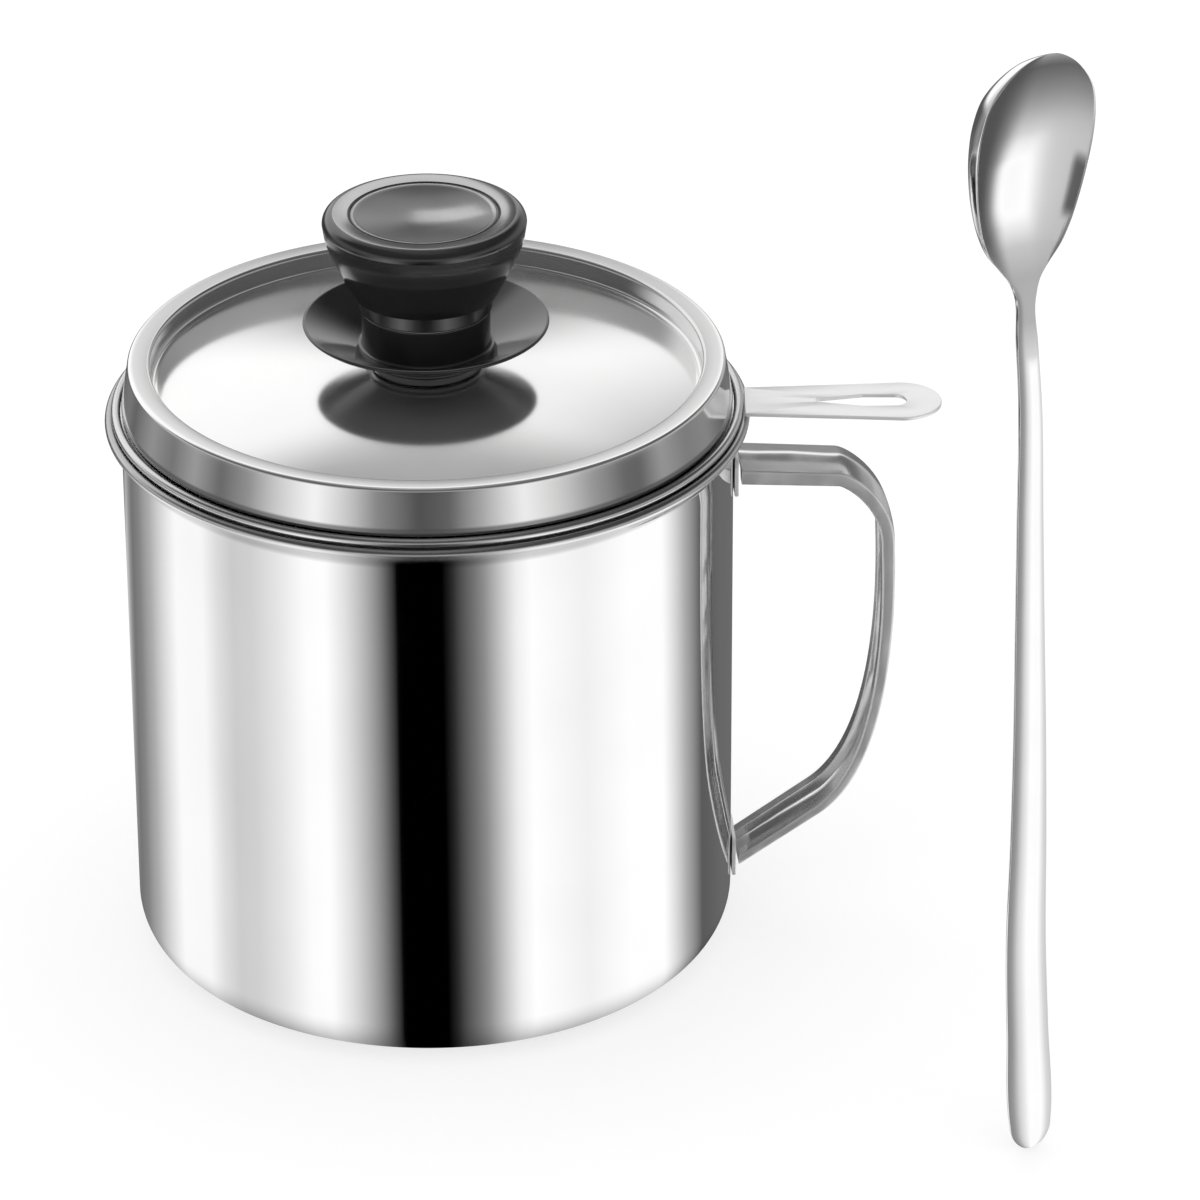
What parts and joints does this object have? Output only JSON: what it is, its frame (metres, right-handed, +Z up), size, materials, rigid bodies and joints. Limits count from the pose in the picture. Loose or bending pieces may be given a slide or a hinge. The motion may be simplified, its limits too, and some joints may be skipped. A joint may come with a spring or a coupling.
{
  "type": "bacon grease container",
  "caption": "Mirror-polished steel grease keeper: round pot with a strip handle, lift-out strainer with a slotted tab, dished lid with a black guarded knob, and a long-handled spoon.",
  "frame": {"origin": "centre of the pot's flat underside, on the surface that it stands on", "axes": "+Z up along the pot's axis, +X out through the handle, the spoon stands in the +X, -Y quarter"},
  "size_m": [0.195, 0.1771, 0.2428],
  "materials": {
    "polished_steel": "mirror-polished stainless steel",
    "satin_steel": "satin stainless steel",
    "wire_steel": "fine steel net",
    "black_phenolic": "glossy moulded black",
    "black_cap": "glossy dark grey inset",
    "insert_brass": "machined"
  },
  "bodies": {
    "pot": {"pot_body": "polished_steel", "handle_strip": "polished_steel", "handle_plate_upper": "satin_steel", "handle_plate_lower": "satin_steel"},
    "strainer": {"strainer_cup": "polished_steel", "strainer_net": "wire_steel", "net_ring": "satin_steel", "strainer_tab": "polished_steel"},
    "lid": {"lid_shell": "polished_steel", "knob_seat_ring": "black_phenolic", "knob_guard": "black_phenolic", "knob_grip": "black_phenolic", "knob_cap": "black_cap", "knob_insert": "insert_brass", "knob_screw": "satin_steel", "knob_washer": "satin_steel"},
    "spoon": {"spoon": "polished_steel"}
  },
  "joints": [
    {"name": "strainer_lift", "type": "slide", "parent": "pot", "child": "strainer", "axis": [0, 0, 1], "range_m": [0, 0.06]},
    {"name": "lid_lift", "type": "slide", "parent": "strainer", "child": "lid", "axis": [0, 0, 1], "range_m": [0, 0.05]},
    {"name": "spoon_lift", "type": "slide", "parent": "pot", "child": "spoon", "axis": [0, 0, 1], "range_m": [0, 0.06]}
  ]
}
